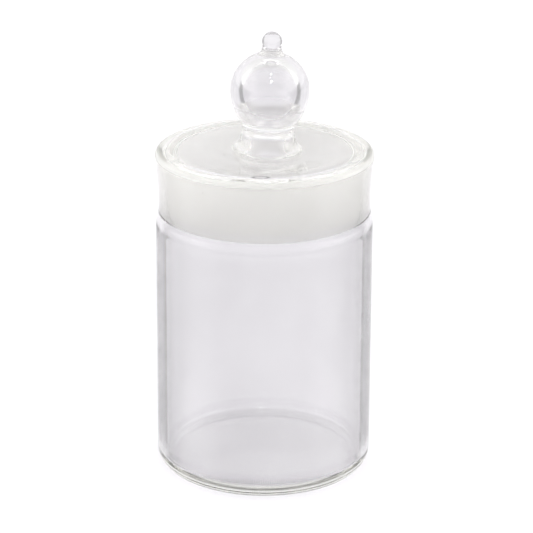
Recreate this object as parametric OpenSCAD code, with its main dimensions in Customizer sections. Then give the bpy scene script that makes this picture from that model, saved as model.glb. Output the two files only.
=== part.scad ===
// Glass specimen jar with a ground-in stopper and a blown knob.
// The origin is the centre of the foot, on the surface that the jar stands on.
// Every section is a body of revolution, so each module turns an outline of
// [radius, height] points round an upright axis.

/* [Jar body] */
// Outside diameter of the body
body_od = 75; // [70:0.5:80]
// Height of the jar up to the rim
jar_h = 115; // [105:0.5:130]
// Thickness of the body wall
wall = 3.4; // [2.5:0.1:4]
// Thickness of the base
base_thk = 4.6; // [3:0.1:6]
// Outside radius of the heel, where the wall turns into the base
heel_r = 5.8; // [4.5:0.1:7]
// Inside radius of the heel
heel_in_r = 1.5; // [1:0.1:5]
// Height at which the base is welded to the body tube
base_seam_z = 9; // [8:0.5:14]

/* [Neck] */
// Height of the weld between the body tube and the neck
shoulder_z = 88.5; // [84:0.5:92]
// Height of the shoulder curve, from the body to the foot of the collar
shoulder_h = 8; // [6:0.5:10]
// Outside diameter at the foot of the collar
collar_od = 72.8; // [71:0.1:74]
// Outside diameter at the rim
rim_od = 75.3; // [74:0.1:77]
// Outside rounding of the rim
rim_r = 1.6; // [1:0.1:2]
// Inside rounding of the rim
rim_in_r = 0.8; // [0.4:0.1:1]
// Diameter of the ground bore at the rim
bore_d = 68.8; // [68:0.1:69]
// Change in diameter for each mm of height of the ground cone
taper = 0.1; // [0.06:0.01:0.12]
// Depth of the ground bore below the rim
ground_depth = 22; // [18:0.5:24]

/* [Stopper] */
// Gap between the ground plug and the ground bore, on the radius
plug_gap = 0.05; // [0.02:0.01:0.1]
// Depth of the plug below the rim
plug_depth = 19; // [15:0.5:20]
// Wall thickness of the hollow plug
plug_wall = 2.7; // [2:0.1:3.5]
// Rounding of the plug's lower edge
plug_edge_r = 0.9; // [0.4:0.1:1]
// Height of the cover's edge above the rim
cover_proud = 0.6; // [0:0.1:2]
// Thickness of the cover at its edge
cover_thk = 2.7; // [2:0.1:4]
// Rise of the cover's top from its edge to the knob
cover_rise = 0.5; // [0:0.1:1.5]
// Rounding of the cover's top edge
cover_edge_r = 2; // [1:0.1:2.2]

/* [Knob] */
// Sideways offset of the knob's foot from the jar's axis
knob_offset = 0.9; // [0:0.1:2]
// Lean of the hand-made knob from upright, in degrees
knob_lean = 2.2; // [0:0.1:4]
// Diameter of the bulb
bulb_d = 27; // [24:0.5:30]
// Height of the bulb's widest part above the cover
bulb_h = 20.2; // [18:0.1:23]
// Height of the bulb's lower half, drawn out towards the waist
bulb_low = 15.5; // [14.5:0.1:16.5]
// Diameter of the air bubble in the bulb
bubble_d = 18.8; // [14:0.1:20]
// Height of the bubble's lower half, drawn out like the bulb's
bubble_low = 10.4; // [8:0.1:11]
// Diameter of the waist between the cover and the bulb
waist_d = 17.8; // [16:0.1:20]
// Height of the waist above the cover
waist_h = 7.3; // [6:0.1:8]
// Diameter of the hollow that runs up into the waist from below
hollow_d = 12; // [8:0.1:13]
// Thickness of glass left between the hollow's dome and the weld with the bulb
septum = 0.9; // [0.5:0.1:2]
// Diameter of the trumpet-shaped foot of the waist
foot_d = 25; // [22:0.5:30]
// Diameter of the sealed tip's round head
tip_d = 6.9; // [5:0.1:8]
// Diameter of the sealed tip just below its head
tip_neck_d = 6.5; // [4:0.1:6.8]
// Height of the tip's top above the cover
tip_h = 40.8; // [38:0.1:44]

/* [Hidden] */

turn_fn = 96;        // facets in a preview of a turned section
arc_steps = 10;      // points along a quarter turn of an outline
curve_steps = 12;    // points along a longer curve of an outline
cut = 1;             // how far a cutter runs past what it cuts

clear_glass = [0.88, 0.90, 0.92, 0.35];
ground_glass = [0.90, 0.90, 0.88, 0.75];

body_r = body_od / 2;
inner_r = body_r - wall;
collar_r = collar_od / 2;
rim_or = rim_od / 2;
collar_z = shoulder_z + shoulder_h;
ground_z = jar_h - ground_depth;

plug_z = jar_h - plug_depth;
cover_edge_z = jar_h + cover_proud;
cover_under_z = cover_edge_z - cover_thk;
cover_fillet_r = 2;                              // inside, from the plug's wall to the cover
skirt_h = 0.5;                                   // straight skirt between the fillet and the weld
plug_seam_z = cover_under_z - cover_fillet_r - skirt_h;
cover_top_z = cover_edge_z + cover_rise;
cover_flat_r = 14;                               // the cover's top is flat inside this radius

bulb_r = bulb_d / 2;
bubble_r = bubble_d / 2;
waist_r = waist_d / 2;
hollow_r = hollow_d / 2;
foot_r = foot_d / 2;
foot_sink = 0.9;                                 // the foot's rim lies this far under the cover's top
hollow_mouth_r = 10;                             // the hollow opens out to this under the cover
hollow_mouth_h = 6;                              // and has its own radius from this height up
hollow_dome_h = 3;                               // height of the dome that closes it
mouth_sink = 0.2;                                // the mouth starts this far below the cover's underside
mouth_lead = 1;                                  // and turns upright over this width and height
tip_seam_h = bulb_h + 11.9;
tip_seam_r = sqrt(pow(bulb_r, 2) - pow(tip_seam_h - bulb_h, 2));
tip_r = tip_d / 2;
tip_neck_r = tip_neck_d / 2;
tip_head_h = tip_h - tip_r;
tip_flare = [0.65, 1.1];                         // the tip's curve leaves the bulb's weld this far out and up
tip_lead = [0.1, 2.2];                           // and reaches the neck from this far out and down
bulb_join_drop = 9.6;                            // where the bulb's outline leaves the waist curve
waist_lead = 1.2;                                // the waist curve starts upright over this height
join_lead = [0.9, 0.8];                          // and meets the bulb's outline from this far in and down

// Radius of the ground cone at height z
function cone_r(z) = bore_d / 2 - taper / 2 * (jar_h - z);

// Points on an arc about [r, z], from angle a0 to angle a1
function arc(r, z, rad, a0, a1) =
    [for (i = [0 : arc_steps])
        let (a = a0 + (a1 - a0) * i / arc_steps)
        [r + rad * cos(a), z + rad * sin(a)]];

// Smooth S-shaped run between two radii, with upright ends
function s_curve(r0, z0, r1, z1) =
    [for (i = [0 : curve_steps])
        let (t = i / curve_steps)
        [r0 + (r1 - r0) * (1 - cos(180 * t)) / 2, z0 + (z1 - z0) * t]];

// Cubic curve from p0 to p3, steered by p1 and p2
function steered(p0, p1, p2, p3) =
    [for (i = [0 : curve_steps])
        let (t = i / curve_steps, u = 1 - t)
        u * u * u * p0 + 3 * u * u * t * p1 + 3 * u * t * t * p2 + t * t * t * p3];

// A body of revolution from its outline
module turned(outline) {
    rotate_extrude($fn = turn_fn) polygon(outline);
}

// Puts the knob's own axis where it stands on the cover
module on_cover() {
    translate([knob_offset, 0, cover_top_z]) rotate([0, knob_lean, 0]) children();
}

// Flat base with a rounded heel and a short upright wall
module base_disc() {
    color(clear_glass) turned(concat(
        [[0, 0]],
        arc(body_r - heel_r, heel_r, heel_r, -90, 0),
        [[body_r, base_seam_z], [inner_r, base_seam_z]],
        arc(inner_r - heel_in_r, base_thk + heel_in_r, heel_in_r, 0, -90),
        [[0, base_thk]]
    ));
}

// Straight drawn tube
module body_tube() {
    color(clear_glass) turned([
        [inner_r, base_seam_z], [body_r, base_seam_z],
        [body_r, shoulder_z], [inner_r, shoulder_z]
    ]);
}

// Drawn-in shoulder and the collar round the ground bore
module neck_collar() {
    lip_z = jar_h - rim_r;
    flare = [for (i = [1 : curve_steps])
        let (t = i / curve_steps)
        [collar_r + (rim_or - collar_r) * t * t, collar_z + (lip_z - collar_z) * t]];
    color(ground_glass) turned(concat(
        s_curve(body_r, shoulder_z, collar_r, collar_z),
        flare,
        arc(rim_or - rim_r, lip_z, rim_r, 0, 90),
        arc(cone_r(jar_h) + rim_in_r, jar_h - rim_in_r, rim_in_r, 90, 180),
        s_curve(cone_r(ground_z), ground_z, inner_r, shoulder_z)
    ));
}

// Hollow ground plug
module stopper_plug() {
    outer_low = cone_r(plug_z) - plug_gap;
    outer_high = cone_r(plug_seam_z) - plug_gap;
    color(ground_glass) turned(concat(
        arc(outer_low - plug_edge_r, plug_z + plug_edge_r, plug_edge_r, -90, 0),
        [[outer_high, plug_seam_z], [outer_high - plug_wall, plug_seam_z]],
        arc(outer_low - plug_wall + plug_edge_r, plug_z + plug_edge_r, plug_edge_r, 180, 270)
    ));
}

// The cover without its knob: a disc with a short skirt
module cover_disc() {
    skirt_r = cone_r(plug_seam_z) - plug_gap;
    corner_r = cone_r(cover_edge_z - cover_edge_r) - plug_gap;
    skirt_in_r = skirt_r - plug_wall;
    turned(concat(
        [[skirt_in_r, plug_seam_z], [skirt_r, plug_seam_z]],
        arc(corner_r - cover_edge_r, cover_edge_z - cover_edge_r, cover_edge_r, 0, 90),
        [[cover_flat_r, cover_top_z], [0, cover_top_z], [0, cover_under_z]],
        arc(skirt_in_r - cover_fillet_r, cover_under_z - cover_fillet_r, cover_fillet_r, 90, 0)
    ));
}

// Trumpet-shaped lower half of the waist, up to the weld with the bulb
module waist_foot() {
    turned(concat(
        [[0, -foot_sink - cut], [foot_r, -foot_sink - cut]],
        [for (i = [arc_steps : -1 : 0])
            let (a = 90 * i / arc_steps)
            [foot_r - (foot_r - waist_r) * cos(a), waist_h - (waist_h + foot_sink) * sin(a)]],
        [[0, waist_h]]
    ));
}

// Hollow under the knob: a trumpet mouth below, closed by a dome in the waist
module hollow() {
    under_h = cover_under_z - cover_top_z;
    dome_h = waist_h - septum - hollow_dome_h;
    turned(concat(
        [[0, under_h - cut], [hollow_mouth_r, under_h - cut]],
        steered([hollow_mouth_r, under_h - mouth_sink],
                [hollow_r + mouth_lead, under_h],
                [hollow_r, under_h + mouth_lead],
                [hollow_r, under_h + hollow_mouth_h]),
        [for (i = [0 : arc_steps])
            let (a = 90 * i / arc_steps)
            [hollow_r * cos(a), dome_h + hollow_dome_h * sin(a)]]
    ));
}

// Cover disc drawn up into the foot of the knob, hollow below
module stopper_cover() {
    color(clear_glass) difference() {
        union() {
            cover_disc();
            on_cover() waist_foot();
        }
        on_cover() hollow();
    }
}

// Blown bulb with its closed bubble
module knob_bulb() {
    join_h = bulb_h - bulb_join_drop;
    join_r = bulb_r * sqrt(1 - pow(bulb_join_drop / bulb_low, 2));
    join_a = -acos(join_r / bulb_r);
    top_a = asin((tip_seam_h - bulb_h) / bulb_r);
    color(clear_glass) on_cover() difference() {
        turned(concat(
            [[0, waist_h]],
            steered([waist_r, waist_h],
                    [waist_r, waist_h + waist_lead],
                    [join_r, join_h] - join_lead,
                    [join_r, join_h]),
            [for (i = [1 : curve_steps])
                let (a = join_a * (1 - i / curve_steps))
                [bulb_r * cos(a), bulb_h + bulb_low * sin(a)]],
            arc(0, bulb_h, bulb_r, 0, top_a),
            [[0, tip_seam_h]]
        ));
        turned(concat(
            arc(0, bulb_h, bubble_r, 90, 0),
            [for (i = [1 : curve_steps])
                let (a = -90 * i / curve_steps)
                [bubble_r * cos(a), bulb_h + bubble_low * sin(a)]]
        ));
    }
}

// Solid tip left where the blowing tube was sealed off
module knob_tip() {
    neck_a = -acos(tip_neck_r / tip_r);
    neck_h = tip_head_h + tip_r * sin(neck_a);
    color(clear_glass) on_cover() turned(concat(
        [[0, tip_seam_h]],
        steered([tip_seam_r, tip_seam_h],
                [tip_neck_r, tip_seam_h] + tip_flare,
                [tip_neck_r + tip_lead[0], neck_h - tip_lead[1]],
                [tip_neck_r, neck_h]),
        [for (i = [1 : curve_steps])
            let (a = neck_a + (90 - neck_a) * i / curve_steps)
            [tip_r * cos(a), tip_head_h + tip_r * sin(a)]]
    ));
}

base_disc();
body_tube();
neck_collar();
stopper_plug();
stopper_cover();
knob_bulb();
knob_tip();
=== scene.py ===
"""A glass specimen jar with a ground-in stopper, built round its CAD frame. Lengths are in metres."""
import math

import bpy
from mathutils import Euler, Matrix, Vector


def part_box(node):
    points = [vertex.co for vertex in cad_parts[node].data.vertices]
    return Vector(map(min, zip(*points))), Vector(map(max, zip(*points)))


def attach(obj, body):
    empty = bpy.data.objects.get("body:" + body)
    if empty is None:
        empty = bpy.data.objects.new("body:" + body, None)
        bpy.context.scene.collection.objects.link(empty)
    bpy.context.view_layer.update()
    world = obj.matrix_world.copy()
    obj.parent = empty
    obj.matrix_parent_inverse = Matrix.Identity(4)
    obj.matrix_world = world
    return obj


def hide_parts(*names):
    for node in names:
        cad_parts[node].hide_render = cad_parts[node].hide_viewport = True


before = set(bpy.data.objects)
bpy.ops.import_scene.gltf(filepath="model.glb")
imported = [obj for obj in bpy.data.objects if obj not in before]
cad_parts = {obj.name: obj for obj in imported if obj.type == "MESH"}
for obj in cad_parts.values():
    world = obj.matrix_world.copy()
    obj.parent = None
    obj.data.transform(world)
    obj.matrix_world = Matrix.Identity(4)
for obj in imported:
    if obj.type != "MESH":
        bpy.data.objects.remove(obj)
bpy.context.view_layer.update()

MM = 0.001

# ---------------------------------------------------------------- sizes that the frame gives

JAR_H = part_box("neck_collar")[1].z
RIM_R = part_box("neck_collar")[1].x
BODY_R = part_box("body_tube")[1].x
BASE_SEAM_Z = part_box("base_disc")[1].z
SHOULDER_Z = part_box("body_tube")[1].z
PLUG_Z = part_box("stopper_plug")[0].z
PLUG_SEAM_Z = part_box("stopper_plug")[1].z
BULB_R = (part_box("knob_bulb")[1].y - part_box("knob_bulb")[0].y) / 2
TOP_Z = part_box("knob_tip")[1].z

# ---------------------------------------------------------------- sizes of the glass inside those

WALL = 3.4 * MM
BASE_THK = 4.6 * MM
HEEL_R = 5.8 * MM
HEEL_IN_R = 1.5 * MM
SHOULDER_H = 8.0 * MM
COLLAR_R = 36.4 * MM
RIM_ROUND = 1.6 * MM
RIM_IN_ROUND = 0.8 * MM
BORE_R = 34.4 * MM              # ground bore at the rim
TAPER = 0.05                    # change in the cone's radius for each unit of height
GROUND_DEPTH = 22.0 * MM
PLUG_GAP = 0.05 * MM
PLUG_WALL = 2.7 * MM
PLUG_EDGE_R = 0.9 * MM
COVER_PROUD = 0.6 * MM
COVER_THK = 2.7 * MM
COVER_RISE = 0.5 * MM
COVER_EDGE_R = 2.0 * MM
COVER_FILLET_R = 2.0 * MM

KNOB_OFFSET = 0.9 * MM
KNOB_LEAN = math.radians(2.2)
BULB_H = 20.2 * MM              # knob heights are above the cover's top
BULB_LOW = 15.5 * MM            # the bulb's lower half is drawn out
BULB_JOIN_DROP = 9.6 * MM
BUBBLE_R = 9.4 * MM
BUBBLE_LOW = 10.4 * MM
WAIST_R = 8.9 * MM
WAIST_H = 7.3 * MM
FOOT_R = 12.5 * MM
HOLLOW_R = 6.0 * MM
HOLLOW_MOUTH_R = 10.0 * MM
HOLLOW_MOUTH_H = 6.0 * MM
HOLLOW_DOME_H = 3.0 * MM
SEPTUM = 0.9 * MM
MOUTH_LEAD = 1.0 * MM           # leads say how far a curve runs on before it turns
WAIST_LEAD = 1.2 * MM
JOIN_LEAD_R = 0.9 * MM
JOIN_LEAD_H = 0.8 * MM
TIP_SEAM_H = BULB_H + 11.9 * MM
TIP_R = 3.45 * MM
TIP_NECK_R = 3.25 * MM
TIP_FLARE = 0.65 * MM           # how much wider the tip's neck is at its foot
TIP_LEAD = 1.1 * MM
TIP_NECK_EASE = 0.1 * MM
TIP_NECK_LEAD = 2.2 * MM

WELD_GAP = 0.004 * MM           # between two welded faces, so that rays meet them in order

COLLAR_Z = SHOULDER_Z + SHOULDER_H
GROUND_Z = JAR_H - GROUND_DEPTH
INNER_R = BODY_R - WALL
COVER_EDGE_Z = JAR_H + COVER_PROUD
COVER_UNDER_Z = COVER_EDGE_Z - COVER_THK
COVER_TOP_Z = COVER_EDGE_Z + COVER_RISE
TIP_H = (TOP_Z - COVER_TOP_Z) / math.cos(KNOB_LEAN)
UPRIGHT_R = 2.2 * FOOT_R        # the cover is upright outside this, and leans fully one FOOT_R further in

AROUND = 256                    # segments round each turned piece
ARC_STEPS = 16
CURVE_STEPS = 24
BAND_STEPS = 6
SAME_POINT = 1e-8
SHARP_TURN = math.radians(30)


def cone_r(z):
    """Radius of the ground bore at height z."""
    return BORE_R - TAPER * (JAR_H - z)


# ---------------------------------------------------------------- outlines, as (radius, height) points

def line(p0, p1, steps=1):
    """Points from p0 to p1, both ends included."""
    return [(p0[0] + (p1[0] - p0[0]) * i / steps, p0[1] + (p1[1] - p0[1]) * i / steps)
            for i in range(steps + 1)]


def oval(r, z, half_r, half_z, a0, a1, steps=ARC_STEPS):
    """Points on an ellipse about (r, z), from angle a0 to angle a1 in degrees."""
    turn = [math.radians(a0 + (a1 - a0) * i / steps) for i in range(steps + 1)]
    return [(r + half_r * math.cos(a), z + half_z * math.sin(a)) for a in turn]


def arc(r, z, rad, a0, a1, steps=ARC_STEPS):
    return oval(r, z, rad, rad, a0, a1, steps)


def s_curve(p0, p1, steps=CURVE_STEPS):
    """A smooth run between two radii, upright at both ends."""
    run = [i / steps for i in range(steps + 1)]
    return [(p0[0] + (p1[0] - p0[0]) * (1 - math.cos(math.pi * t)) / 2, p0[1] + (p1[1] - p0[1]) * t)
            for t in run]


def steered(p0, p1, p2, p3, steps=CURVE_STEPS):
    """A cubic curve from p0 to p3, steered by p1 and p2."""
    points = []
    for i in range(steps + 1):
        t = i / steps
        weights = ((1 - t) ** 3, 3 * (1 - t) ** 2 * t, 3 * (1 - t) * t * t, t ** 3)
        points.append(tuple(sum(w * p[c] for w, p in zip(weights, (p0, p1, p2, p3))) for c in (0, 1)))
    return points


def back(points):
    return list(reversed(points))


# ---------------------------------------------------------------- turned meshes

MASKS = ("weld", "ground", "film", "soft")
FINISH = {                      # how far each mask applies to a stretch of the outline
    "clear": {},
    "weld": {"weld": 1},
    "ground": {"ground": 1},
    "lip": {"ground": 0.35},
    "worn": {"ground": 0.2},
    "scuffed": {"ground": 0.08},
    "film": {"film": 1},
    "soft": {"soft": 1},
    "softer": {"soft": 0.6},
    "softest": {"soft": 0.3},
    "none": {},                 # for jumps along the axis, which leave no faces
}


def lathe(name, runs, place):
    """Turns an outline into a closed mesh.

    runs are (finish, points) stretches, each from the last one's end. Together they go from axis to axis,
    or end where they began. place maps a radius, an angle and a height to a point."""
    path = [runs[0][1][0]]
    kinds = []
    for kind, points in runs:
        for p in points:
            if math.dist(path[-1], p) > SAME_POINT:
                path.append(p)
                kinds.append(kind)
    ring_shaped = math.dist(path[0], path[-1]) < SAME_POINT
    if ring_shaped:
        path.pop()
    verts = []
    rings = []
    for r, z in path:
        if r < SAME_POINT:
            rings.append([len(verts)] * AROUND)
            verts.append(place(0, 0, z))
        else:
            rings.append([len(verts) + k for k in range(AROUND)])
            verts += [place(r, 2 * math.pi * k / AROUND, z) for k in range(AROUND)]
    area = sum(a[0] * b[1] - b[0] * a[1] for a, b in zip(path, path[1:] + path[:1]))
    faces = []
    face_kinds = []
    for i, kind in enumerate(kinds):
        low, high = rings[i], rings[(i + 1) % len(rings)]
        if area < 0:
            low, high = high, low
        for k in range(AROUND):
            n = (k + 1) % AROUND
            corners = tuple(dict.fromkeys((low[k], low[n], high[n], high[k])))
            if len(corners) > 2:
                faces.append(corners)
                face_kinds.append(kind)
    mesh = bpy.data.meshes.new(name)
    mesh.from_pydata(verts, [], faces)
    obj = bpy.data.objects.new(name, mesh)
    bpy.context.scene.collection.objects.link(obj)
    for layer in MASKS:
        mask = mesh.attributes.new(layer, "FLOAT", "FACE")
        mask.data.foreach_set("value", [float(FINISH[kind].get(layer, 0)) for kind in face_kinds])
    mesh.polygons.foreach_set("use_smooth", [True] * len(faces))
    mark_sharp(mesh, SHARP_TURN)
    return obj


def mark_sharp(mesh, limit):
    """Smooth shading stops at edges where the faces turn by more than limit."""
    normals = {}
    for face in mesh.polygons:
        for key in face.edge_keys:
            normals.setdefault(key, []).append(face.normal.copy())
    for edge in mesh.edges:
        pair = normals[edge.key]
        edge.use_edge_sharp = len(pair) == 2 and pair[0].angle(pair[1]) > limit


def upright(r, a, z):
    """A point of the jar or of the cover's edge."""
    return Vector((r * math.cos(a), r * math.sin(a), z))


def leaning(r, a, h):
    """A point at height h above the cover, on the knob's own leaning axis."""
    p = upright(r, a, h)
    p.rotate(Euler((0, KNOB_LEAN, 0)))
    return p + Vector((KNOB_OFFSET, 0, COVER_TOP_Z))


def cover_place(r, a, z):
    """The cover is upright at its edge and takes on the knob's lean towards its middle."""
    t = min(max((UPRIGHT_R - r) / FOOT_R, 0), 1)
    return upright(r, a, z).lerp(leaning(r, a, z - COVER_TOP_Z), t * t * (3 - 2 * t))


# ---------------------------------------------------------------- the jar

def base_glass():
    seam = BASE_SEAM_Z - WELD_GAP / 2
    heel = BODY_R - HEEL_R
    heel_in = INNER_R - HEEL_IN_R
    return [
        ("scuffed", line((0, 0), (heel, 0), steps=8)),
        ("clear", arc(heel, HEEL_R, HEEL_R, -90, 0)),
        ("clear", line((BODY_R, HEEL_R), (BODY_R, seam), steps=3)),
        ("weld", [(INNER_R, seam)]),
        ("clear", arc(heel_in, BASE_THK + HEEL_IN_R, HEEL_IN_R, 0, -90)),
        ("clear", line((heel_in, BASE_THK), (0, BASE_THK), steps=8)),
    ]


def body_glass():
    low = BASE_SEAM_Z + WELD_GAP / 2
    high = SHOULDER_Z - WELD_GAP / 2
    return [
        ("clear", line((BODY_R, low), (BODY_R, high), steps=40)),
        ("weld", [(INNER_R, high)]),
        # painted shade: the inner wall leaves out part of its reflection, which darkens the body's side
        # edges
        ("film", line((INNER_R, high), (INNER_R, low), steps=40)),
        ("weld", [(BODY_R, low)]),
    ]


def neck_glass():
    seam = SHOULDER_Z + WELD_GAP / 2
    lip_z = JAR_H - RIM_ROUND
    rise = [i / CURVE_STEPS for i in range(CURVE_STEPS + 1)]
    flare = [(COLLAR_R + (RIM_R - COLLAR_R) * t * t, COLLAR_Z + (lip_z - COLLAR_Z) * t) for t in rise]
    return [
        ("clear", s_curve((BODY_R, seam), (COLLAR_R, COLLAR_Z))),
        ("clear", flare),
        ("lip", arc(RIM_R - RIM_ROUND, lip_z, RIM_ROUND, 0, 90)),
        ("lip", arc(cone_r(JAR_H) + RIM_IN_ROUND, JAR_H - RIM_IN_ROUND, RIM_IN_ROUND, 90, 180)),
        ("ground", line((cone_r(JAR_H), JAR_H - RIM_IN_ROUND), (cone_r(GROUND_Z), GROUND_Z), steps=16)),
        ("clear", s_curve((cone_r(GROUND_Z), GROUND_Z), (INNER_R, seam))),
        ("weld", [(BODY_R, seam)]),
    ]


# ---------------------------------------------------------------- the stopper

def plug_glass():
    seam = PLUG_SEAM_Z - WELD_GAP / 2
    edge_z = PLUG_Z + PLUG_EDGE_R
    low = cone_r(PLUG_Z) - PLUG_GAP
    high = cone_r(PLUG_SEAM_Z) - PLUG_GAP
    return [
        ("ground", arc(low - PLUG_EDGE_R, edge_z, PLUG_EDGE_R, -90, 0)),
        ("ground", line((low, edge_z), (high, seam), steps=12)),
        ("weld", [(high - PLUG_WALL, seam)]),
        ("clear", line((high - PLUG_WALL, seam), (low - PLUG_WALL, edge_z), steps=12)),
        ("clear", arc(low - PLUG_WALL + PLUG_EDGE_R, edge_z, PLUG_EDGE_R, 180, 270)),
        ("clear", [(low - PLUG_EDGE_R, PLUG_Z)]),
    ]


def cover_glass():
    seam = PLUG_SEAM_Z + WELD_GAP / 2
    skirt_r = cone_r(PLUG_SEAM_Z) - PLUG_GAP
    skirt_in_r = skirt_r - PLUG_WALL
    corner_z = COVER_EDGE_Z - COVER_EDGE_R
    corner_r = cone_r(corner_z) - PLUG_GAP
    flat_r = corner_r - COVER_EDGE_R
    fillet_r = skirt_in_r - COVER_FILLET_R
    waist_z = COVER_TOP_Z + WAIST_H - WELD_GAP / 2
    dome_z = waist_z - SEPTUM - HOLLOW_DOME_H
    foot = oval(FOOT_R, COVER_TOP_Z + WAIST_H, WAIST_R - FOOT_R, -WAIST_H, 90, 0, CURVE_STEPS)
    mouth = steered((HOLLOW_MOUTH_R, COVER_UNDER_Z), (HOLLOW_R + MOUTH_LEAD, COVER_UNDER_Z),
                    (HOLLOW_R, COVER_UNDER_Z + MOUTH_LEAD), (HOLLOW_R, COVER_UNDER_Z + HOLLOW_MOUTH_H))
    return [
        ("ground", line((skirt_r, seam), (corner_r, corner_z), steps=4)),
        ("worn", arc(flat_r, corner_z, COVER_EDGE_R, 0, 90)),
        ("clear", line((flat_r, COVER_EDGE_Z), (FOOT_R, COVER_TOP_Z), steps=16)),
        ("clear", foot),
        ("weld", [(WAIST_R, waist_z), (0, waist_z)]),
        ("none", [(0, dome_z + HOLLOW_DOME_H)]),
        ("soft", oval(0, dome_z, HOLLOW_R, HOLLOW_DOME_H, 90, 0)),
        ("soft", back(mouth)),
        ("clear", line((HOLLOW_MOUTH_R, COVER_UNDER_Z), (fillet_r, COVER_UNDER_Z), steps=12)),
        ("clear", arc(fillet_r, COVER_UNDER_Z - COVER_FILLET_R, COVER_FILLET_R, 90, 0)),
        ("clear", [(skirt_in_r, seam)]),
        ("weld", [(skirt_r, seam)]),
    ]


BUBBLE_BANDS = [                # finish and angles, in degrees from the bubble's middle
    ("clear", 0, -10),
    ("softest", -10, -20),
    ("softer", -20, -30),
]


def bulb_glass():
    """The outside from the waist to the tip, and then the closed bubble inside it."""
    low = WAIST_H + WELD_GAP / 2
    high = TIP_SEAM_H - WELD_GAP / 2
    join_a = -math.degrees(math.asin(BULB_JOIN_DROP / BULB_LOW))
    join_r = BULB_R * math.cos(math.radians(join_a))
    join_h = BULB_H - BULB_JOIN_DROP
    top_a = math.degrees(math.asin((high - BULB_H) / BULB_R))
    bands = [(finish, oval(0, BULB_H, BUBBLE_R, BUBBLE_LOW, a0, a1, BAND_STEPS))
             for finish, a0, a1 in BUBBLE_BANDS]
    return [
        ("weld", [(0, low), (WAIST_R, low)]),
        ("clear", steered((WAIST_R, low), (WAIST_R, low + WAIST_LEAD),
                          (join_r - JOIN_LEAD_R, join_h - JOIN_LEAD_H), (join_r, join_h))),
        ("clear", oval(0, BULB_H, BULB_R, BULB_LOW, join_a, 0, CURVE_STEPS)),
        ("clear", arc(0, BULB_H, BULB_R, 0, top_a, CURVE_STEPS)),
        ("weld", [(0, high)]),
        ("none", [(0, BULB_H + BUBBLE_R)]),
        ("clear", arc(0, BULB_H, BUBBLE_R, 90, 0, CURVE_STEPS)),
        *bands,
        ("soft", oval(0, BULB_H, BUBBLE_R, BUBBLE_LOW, BUBBLE_BANDS[-1][2], -90, CURVE_STEPS)),
    ]


def tip_glass():
    low = TIP_SEAM_H + WELD_GAP / 2
    seam_r = math.sqrt(BULB_R ** 2 - (TIP_SEAM_H - BULB_H) ** 2)
    head_h = TIP_H - TIP_R
    neck_a = -math.degrees(math.acos(TIP_NECK_R / TIP_R))
    neck_h = head_h + TIP_R * math.sin(math.radians(neck_a))
    return [
        ("weld", [(0, low), (seam_r, low)]),
        ("clear", steered((seam_r, low), (TIP_NECK_R + TIP_FLARE, low + TIP_LEAD),
                          (TIP_NECK_R + TIP_NECK_EASE, neck_h - TIP_NECK_LEAD), (TIP_NECK_R, neck_h))),
        ("clear", arc(0, head_h, TIP_R, neck_a, 90, CURVE_STEPS)),
    ]


# ---------------------------------------------------------------- glass

GLASS_IOR = 1.5
# painted shade in the glass's colour: darker in the body and the knob, lighter at the neck, blended between
# these heights
BODY_SHADE = (0.863, 0.858, 0.868)
NECK_SHADE = (0.952, 0.947, 0.96)
KNOB_SHADE = (0.865, 0.86, 0.87)
SHADE_LOW_Z = 84 * MM
SHADE_HIGH_Z = 94 * MM
KNOB_LOW_Z = 113 * MM
KNOB_HIGH_Z = 146 * MM
DEPTH_COLOUR = (0.55, 0.58, 0.3)
DEPTH_DENSITY = 1.2             # for each metre of glass
SOFT_ROUGHNESS = 0.35
GROUND_ROUGHNESS = 0.4
GROUND_WHITE = (0.958, 0.957, 0.942)
GROUND_MILKY = (0.70, 0.85)     # least and most, over the grain
GROUND_THROUGH = 0.5            # share of the milky part that lets light through
GRAIN_SCALE = 900
GRAIN_FADE = (0.3, 0.7)
EDGE_SHADE = 0.3                      # share of the inner wall's reflection that is left out, as painted shade on the body's side edges

SMEAR = (0.95, 1.0)             # least and most of the tint that a smear leaves
SMEAR_FADE = (0.35, 0.65)
SMEAR_SIZE = (26, 26, 16)
DRAW_SIZE = (260, 260, 9)       # draw lines run up the wall
DRAW_DEPTH = 0.004 * MM
SEED_SCALE = 150                # seeds are small bubbles in the glass
SEED_EDGE = (0.025, 0.05)
SEED_TINT = 0.75
STRIPE_PITCH = 0.76 * MM        # chill marks on the front of the heel
STRIPE_TINT = 0.75
STRIPE_TOP_Z = 8 * MM
STRIPE_FRONT = -26 * MM
STRIPE_SOFT_TOP = 2 * MM
STRIPE_SOFT_SIDE = 3 * MM
MARK_AT = Vector((-1.3 * MM, -31.4 * MM, COVER_EDGE_Z))     # an oval blister in the cover's front edge
MARK_SIZE = Vector((3.3 * MM, 1.2 * MM, 4 * MM))
MARK_INSIDE = (0.45, 0.75)      # the ring's soft inner and outer edges, as shares of the size
MARK_OUTSIDE = (0.85, 1.1)
MARK_TINT = 0.12


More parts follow.
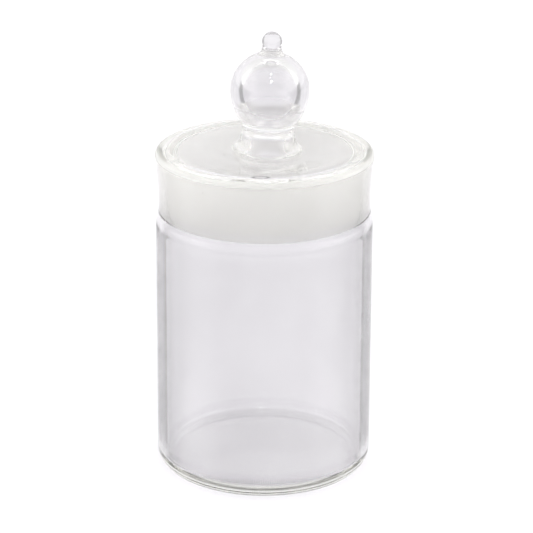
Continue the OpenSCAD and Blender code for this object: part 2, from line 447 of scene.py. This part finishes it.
class Shader:
    """Short ways to add and join the nodes of one material or world."""

    def __init__(self, tree):
        self.nodes = tree.nodes
        self.links = tree.links

    def put(self, value, socket):
        if isinstance(value, bpy.types.NodeSocket):
            self.links.new(value, socket)
        else:
            socket.default_value = value

    def add(self, kind, **inputs):
        node = self.nodes.new(kind)
        for name, value in inputs.items():
            self.put(value, node.inputs[name.replace("_", " ")])
        return node

    def mask(self, name):
        node = self.nodes.new("ShaderNodeAttribute")
        node.attribute_name = name
        return node.outputs["Fac"]

    def maths(self, operation, first, second=0.0):
        node = self.nodes.new("ShaderNodeMath")
        node.operation = operation
        self.put(first, node.inputs[0])
        self.put(second, node.inputs[1])
        return node.outputs[0]

    def fade(self, value, start, end, low=0.0, high=1.0):
        """Goes smoothly from low, where value is start, to high, where it is end."""
        node = self.nodes.new("ShaderNodeMapRange")
        node.interpolation_type = "SMOOTHSTEP"
        self.put(value, node.inputs["Value"])
        for name, setting in (("From Min", start), ("From Max", end), ("To Min", low), ("To Max", high)):
            node.inputs[name].default_value = setting
        return node.outputs["Result"]

    def blend(self, data_type, fac, first, second):
        node = self.nodes.new("ShaderNodeMix")
        node.data_type = data_type
        self.put(fac, node.inputs["Factor"])
        ports = [socket for socket in node.inputs if socket.enabled and socket.name in ("A", "B")]
        self.put(first, ports[0])
        self.put(second, ports[1])
        return next(socket for socket in node.outputs if socket.enabled)

    def mix(self, fac, first, second):
        node = self.nodes.new("ShaderNodeMixShader")
        self.put(fac, node.inputs["Fac"])
        self.links.new(first.outputs[0], node.inputs[1])
        self.links.new(second.outputs[0], node.inputs[2])
        return node

    def stretched(self, where, scale):
        node = self.nodes.new("ShaderNodeMapping")
        self.links.new(where, node.inputs["Vector"])
        node.inputs["Scale"].default_value = scale
        return node.outputs["Vector"]

    def noise(self, where, scale, detail=2.0):
        node = self.nodes.new("ShaderNodeTexNoise")
        self.links.new(where, node.inputs["Vector"])
        node.inputs["Scale"].default_value = scale
        node.inputs["Detail"].default_value = detail
        return node.outputs["Fac"]


def seeds(sh, where):
    """Small dark specks."""
    cells = sh.nodes.new("ShaderNodeTexVoronoi")
    sh.links.new(where, cells.inputs["Vector"])
    cells.inputs["Scale"].default_value = SEED_SCALE
    return sh.fade(cells.outputs["Distance"], *SEED_EDGE, SEED_TINT, 1.0)


def chill_marks(sh, parts):
    """Fine upright stripes, low on the front of the heel."""
    wave = sh.maths("SINE", sh.maths("MULTIPLY", parts.outputs["X"], 2 * math.pi / STRIPE_PITCH))
    low = sh.fade(parts.outputs["Z"], STRIPE_TOP_Z - STRIPE_SOFT_TOP, STRIPE_TOP_Z, 1.0, 0.0)
    front = sh.fade(parts.outputs["Y"], STRIPE_FRONT - STRIPE_SOFT_SIDE, STRIPE_FRONT, 1.0, 0.0)
    depth = sh.maths("MULTIPLY", sh.maths("MULTIPLY", low, front), sh.fade(wave, -1, 1))
    return sh.fade(depth, 0, 1, 1.0, STRIPE_TINT)


def blister(sh, where):
    """A thin dark ring where a flat bubble lies in the cover."""
    offset = sh.nodes.new("ShaderNodeVectorMath")
    offset.operation = "SUBTRACT"
    sh.links.new(where, offset.inputs[0])
    offset.inputs[1].default_value = MARK_AT
    reach = sh.nodes.new("ShaderNodeVectorMath")
    reach.operation = "LENGTH"
    sh.links.new(sh.stretched(offset.outputs[0], [1 / size for size in MARK_SIZE]), reach.inputs[0])
    distance = reach.outputs["Value"]
    ring = sh.maths("MULTIPLY", sh.fade(distance, *MARK_INSIDE), sh.fade(distance, *MARK_OUTSIDE, 1.0, 0.0))
    return sh.fade(ring, 0, 1, 1.0, MARK_TINT)


def painted_shade_and_flaws(sh, where):
    """Painted shade with a lilac cast, darkest in the body and the knob and lightest at the neck, with soft
    smears.
    """
    parts = sh.nodes.new("ShaderNodeSeparateXYZ")
    sh.links.new(where, parts.inputs[0])
    height = parts.outputs["Z"]
    # painted shade by height: darker in the body and the knob, lighter at the neck
    shaded_colour = sh.blend("RGBA", sh.fade(height, SHADE_LOW_Z, SHADE_HIGH_Z), (*BODY_SHADE, 1), (*NECK_SHADE, 1))
    shaded_colour = sh.blend("RGBA", sh.fade(height, KNOB_LOW_Z, KNOB_HIGH_Z), shaded_colour, (*KNOB_SHADE, 1))
    share = sh.fade(sh.noise(sh.stretched(where, SMEAR_SIZE), 1.0), *SMEAR_FADE, *SMEAR)
    for flaw in (seeds(sh, where), chill_marks(sh, parts), blister(sh, where)):
        share = sh.maths("MULTIPLY", share, flaw)
    scaled = sh.nodes.new("ShaderNodeVectorMath")
    scaled.operation = "SCALE"
    sh.links.new(shaded_colour, scaled.inputs[0])
    sh.links.new(share, scaled.inputs["Scale"])
    return scaled.outputs[0]


def glass_relief(sh, where):
    """Draw lines that run up the wall."""
    bump = sh.nodes.new("ShaderNodeBump")
    bump.inputs["Distance"].default_value = DRAW_DEPTH
    sh.links.new(sh.noise(sh.stretched(where, DRAW_SIZE), 1.0, detail=1.0), bump.inputs["Height"])
    return bump.outputs["Normal"]


def glass(name):
    """Glass that darkens with its depth, frosted where it was ground, and without a surface at a weld."""
    mat = bpy.data.materials.new(name)
    mat.use_nodes = True
    sh = Shader(mat.node_tree)
    sh.nodes.clear()
    where = sh.nodes.new("ShaderNodeTexCoord").outputs["Object"]
    # the glass's colour carries painted shade by height, besides its smears and flaws
    shaded_colour = painted_shade_and_flaws(sh, where)
    relief = glass_relief(sh, where)

    def principled(rough):
        node = sh.add("ShaderNodeBsdfPrincipled", Base_Color=shaded_colour, Roughness=rough, Normal=relief)
        node.inputs["IOR"].default_value = GLASS_IOR
        node.inputs["Transmission Weight"].default_value = 1
        return node

    through = sh.add("ShaderNodeBsdfRefraction", IOR=GLASS_IOR, Roughness=0.0, Normal=relief)
    smooth = principled(sh.maths("MULTIPLY", sh.mask("soft"), SOFT_ROUGHNESS))
    # the inner wall refracts without part of its reflection: painted shade on the body's side edges
    clear = sh.mix(sh.maths("MULTIPLY", sh.mask("film"), EDGE_SHADE), smooth, through)
    white = sh.add("ShaderNodeBsdfDiffuse", Color=(*GROUND_WHITE, 1))
    milky = sh.add("ShaderNodeBsdfTranslucent", Color=(*GROUND_WHITE, 1))
    grain = sh.fade(sh.noise(where, GRAIN_SCALE, detail=4.0), *GRAIN_FADE, *GROUND_MILKY)
    ground = sh.mix(grain, principled(GROUND_ROUGHNESS), sh.mix(GROUND_THROUGH, white, milky))
    surface = sh.mix(sh.mask("ground"), clear, ground)
    welded = sh.mix(sh.mask("weld"), surface, sh.nodes.new("ShaderNodeBsdfTransparent"))
    depth = sh.add("ShaderNodeVolumeAbsorption", Color=(*DEPTH_COLOUR, 1), Density=DEPTH_DENSITY)
    out = sh.nodes.new("ShaderNodeOutputMaterial")
    sh.links.new(welded.outputs[0], out.inputs["Surface"])
    sh.links.new(depth.outputs[0], out.inputs["Volume"])
    return mat


# ---------------------------------------------------------------- the pieces, each on its body

PIECES = [
    (base_glass, upright, "base_disc", "jar", "clear_glass"),
    (body_glass, upright, "body_tube", "jar", "clear_glass"),
    (neck_glass, upright, "neck_collar", "jar", "ground_glass"),
    (plug_glass, upright, "stopper_plug", "stopper", "ground_glass"),
    (cover_glass, cover_place, "stopper_cover", "stopper", "clear_glass"),
    (bulb_glass, leaning, "knob_bulb", "stopper", "clear_glass"),
    (tip_glass, leaning, "knob_tip", "stopper", "clear_glass"),
]
jar_glass = glass("jar_glass")
for outline, place, node, body, slot in PIECES:
    piece = lathe(outline.__name__, outline(), place)
    piece.data.materials.append(jar_glass)
    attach(piece, body)
    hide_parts(node)

# ---------------------------------------------------------------- floor, light and camera

FLOOR_SIZE = 8.0
FLOOR_DROP = 0.2 * MM           # keeps the floor clear of the jar's foot
FLOOR_GREY = 0.65
FLOOR_GLOW = 0.1
FLOOR_CLEAR = 0.75              # share of the sheet that lets the light from below through
PAPER = (1.02, 1.0, 1.04)


def paper_floor():
    """A plain white sheet over a light table."""
    half = FLOOR_SIZE / 2
    mesh = bpy.data.meshes.new("floor")
    corners = [(-half, -half, 0), (half, -half, 0), (half, half, 0), (-half, half, 0)]
    mesh.from_pydata(corners, [], [(0, 1, 2, 3)])
    floor = bpy.data.objects.new("floor", mesh)
    floor.location.z = -FLOOR_DROP
    bpy.context.scene.collection.objects.link(floor)
    paper = bpy.data.materials.new("paper")
    paper.use_nodes = True
    nodes = paper.node_tree.nodes
    links = paper.node_tree.links
    sheet = nodes["Principled BSDF"]
    sheet.inputs["Base Color"].default_value = (FLOOR_GREY, FLOOR_GREY, FLOOR_GREY, 1)
    sheet.inputs["Roughness"].default_value = 1
    sheet.inputs["Specular IOR Level"].default_value = 0
    sheet.inputs["Emission Color"].default_value = (*PAPER, 1)
    sheet.inputs["Emission Strength"].default_value = FLOOR_GLOW
    below = nodes.new("ShaderNodeBsdfTransparent")
    mix = nodes.new("ShaderNodeMixShader")
    mix.inputs["Fac"].default_value = FLOOR_CLEAR
    links.new(sheet.outputs[0], mix.inputs[1])
    links.new(below.outputs[0], mix.inputs[2])
    links.new(mix.outputs[0], nodes["Material Output"].inputs["Surface"])
    mesh.materials.append(paper)


paper_floor()

# brightness by degrees round from straight behind the jar, below and above the horizon
LOW_ROUND = [(0, 1.05), (15, 1.05), (21, 0.95), (27, 0.9), (42, 0.9), (50, 0.25), (68, 0.25), (90, 0.85),
             (115, 0.8), (135, 0.5), (180, 0.45)]
HIGH_ROUND = [(0, 1.0), (40, 1.05), (65, 2.3), (105, 2.3), (140, 1.1), (180, 0.9)]
HORIZON = (-3, 8)               # degrees up, from the light below to the light above
NADIR = (-45, -28)
NADIR_LIGHT = 0.95
CEILING = (30, 70)
CEILING_LIGHT = 1.5
SKY = (1.0, 1.0, 0.985)

LAMPS = [                       # degrees up, size, power
    (44, 0.09, 1.6),
    (63, 0.07, 1.2),
]
LAMP_ROUND = math.radians(4)    # to the right of the camera
LAMP_DISTANCE = 1.1


def ramp(sh, value, stops):
    """Straight runs between (value, brightness) stops."""
    span = sh.nodes.new("ShaderNodeMapRange")
    span.inputs["From Min"].default_value = stops[0][0]
    span.inputs["From Max"].default_value = stops[-1][0]
    sh.links.new(value, span.inputs["Value"])
    node = sh.nodes.new("ShaderNodeFloatCurve")
    top = max(v for x, v in stops)
    curve = node.mapping.curves[0]
    while len(curve.points) < len(stops):
        curve.points.new(0.5, 0.5)
    for point, (x, v) in zip(curve.points, stops):
        point.location = ((x - stops[0][0]) / (stops[-1][0] - stops[0][0]), v / top)
        point.handle_type = "VECTOR"
    node.mapping.update()
    sh.links.new(span.outputs[0], node.inputs["Value"])
    return sh.maths("MULTIPLY", node.outputs[0], top)


def studio():
    """A light table below, and soft light all round above it."""
    world = bpy.data.worlds.new("studio")
    bpy.context.scene.world = world
    world.use_nodes = True
    sh = Shader(world.node_tree)
    way = sh.nodes.new("ShaderNodeSeparateXYZ")
    sh.links.new(sh.nodes.new("ShaderNodeTexCoord").outputs["Generated"], way.inputs[0])
    aside = sh.maths("ABSOLUTE", way.outputs["X"])
    around = sh.maths("DEGREES", sh.maths("ARCTAN2", aside, way.outputs["Y"]))
    up = sh.maths("DEGREES", sh.maths("ARCSINE", way.outputs["Z"]))
    rise = sh.fade(up, *HORIZON)
    sides = sh.blend("FLOAT", rise, ramp(sh, around, LOW_ROUND), ramp(sh, around, HIGH_ROUND))
    sides = sh.blend("FLOAT", sh.fade(up, *NADIR), NADIR_LIGHT, sides)
    strength = sh.blend("FLOAT", sh.fade(up, *CEILING), sides, CEILING_LIGHT)
    tone = sh.blend("RGBA", rise, (*PAPER, 1), (*SKY, 1))
    sh.links.new(tone, sh.nodes["Background"].inputs["Color"])
    sh.links.new(strength, sh.nodes["Background"].inputs["Strength"])


def lamp(up, size, power):
    """A small soft box in front of the jar, for a compact highlight."""
    light = bpy.data.lights.new("lamp", "AREA")
    light.size = size
    light.energy = power
    obj = bpy.data.objects.new("lamp", light)
    bpy.context.scene.collection.objects.link(obj)
    aim = Vector((0, 0, COVER_TOP_Z + BULB_H))
    tilt = math.radians(up)
    level = math.cos(tilt)
    way = Vector((math.sin(LAMP_ROUND) * level, -math.cos(LAMP_ROUND) * level, math.sin(tilt)))
    obj.location = aim + LAMP_DISTANCE * way
    obj.rotation_euler = (-way).to_track_quat("-Z", "Y").to_euler()


studio()
for setting in LAMPS:
    lamp(*setting)

CAMERA_DISTANCE = 0.975
CAMERA_TILT = math.radians(20.45)
CAMERA_ROLL = math.radians(0.27)
CAMERA_SENSOR = 36              # sensor and lens are in millimetres, as Blender takes them
CAMERA_LENS = 189.4
CAMERA_REACH = 100
AIM = Vector((0.8 * MM, 0, 72.4 * MM))
lens = bpy.data.cameras.new("camera")
lens.sensor_width = CAMERA_SENSOR
lens.lens = CAMERA_LENS
lens.clip_end = CAMERA_REACH
camera = bpy.data.objects.new("camera", lens)
bpy.context.scene.collection.objects.link(camera)
camera.location = AIM + CAMERA_DISTANCE * Vector((0, -math.cos(CAMERA_TILT), math.sin(CAMERA_TILT)))
camera.rotation_euler = (AIM - camera.location).to_track_quat("-Z", "Y").to_euler()
camera.rotation_euler.rotate_axis("Z", CAMERA_ROLL)
bpy.context.scene.camera = camera

THROUGH_BOUNCES = 32            # a ray crosses many faces of glass
BACK_BOUNCES = 24
scene = bpy.context.scene
scene.view_settings.view_transform = "Standard"
scene.cycles.max_bounces = THROUGH_BOUNCES
scene.cycles.transmission_bounces = THROUGH_BOUNCES
scene.cycles.transparent_max_bounces = THROUGH_BOUNCES
scene.cycles.glossy_bounces = BACK_BOUNCES
scene.cycles.diffuse_bounces = BACK_BOUNCES
scene.cycles.blur_glossy = 0
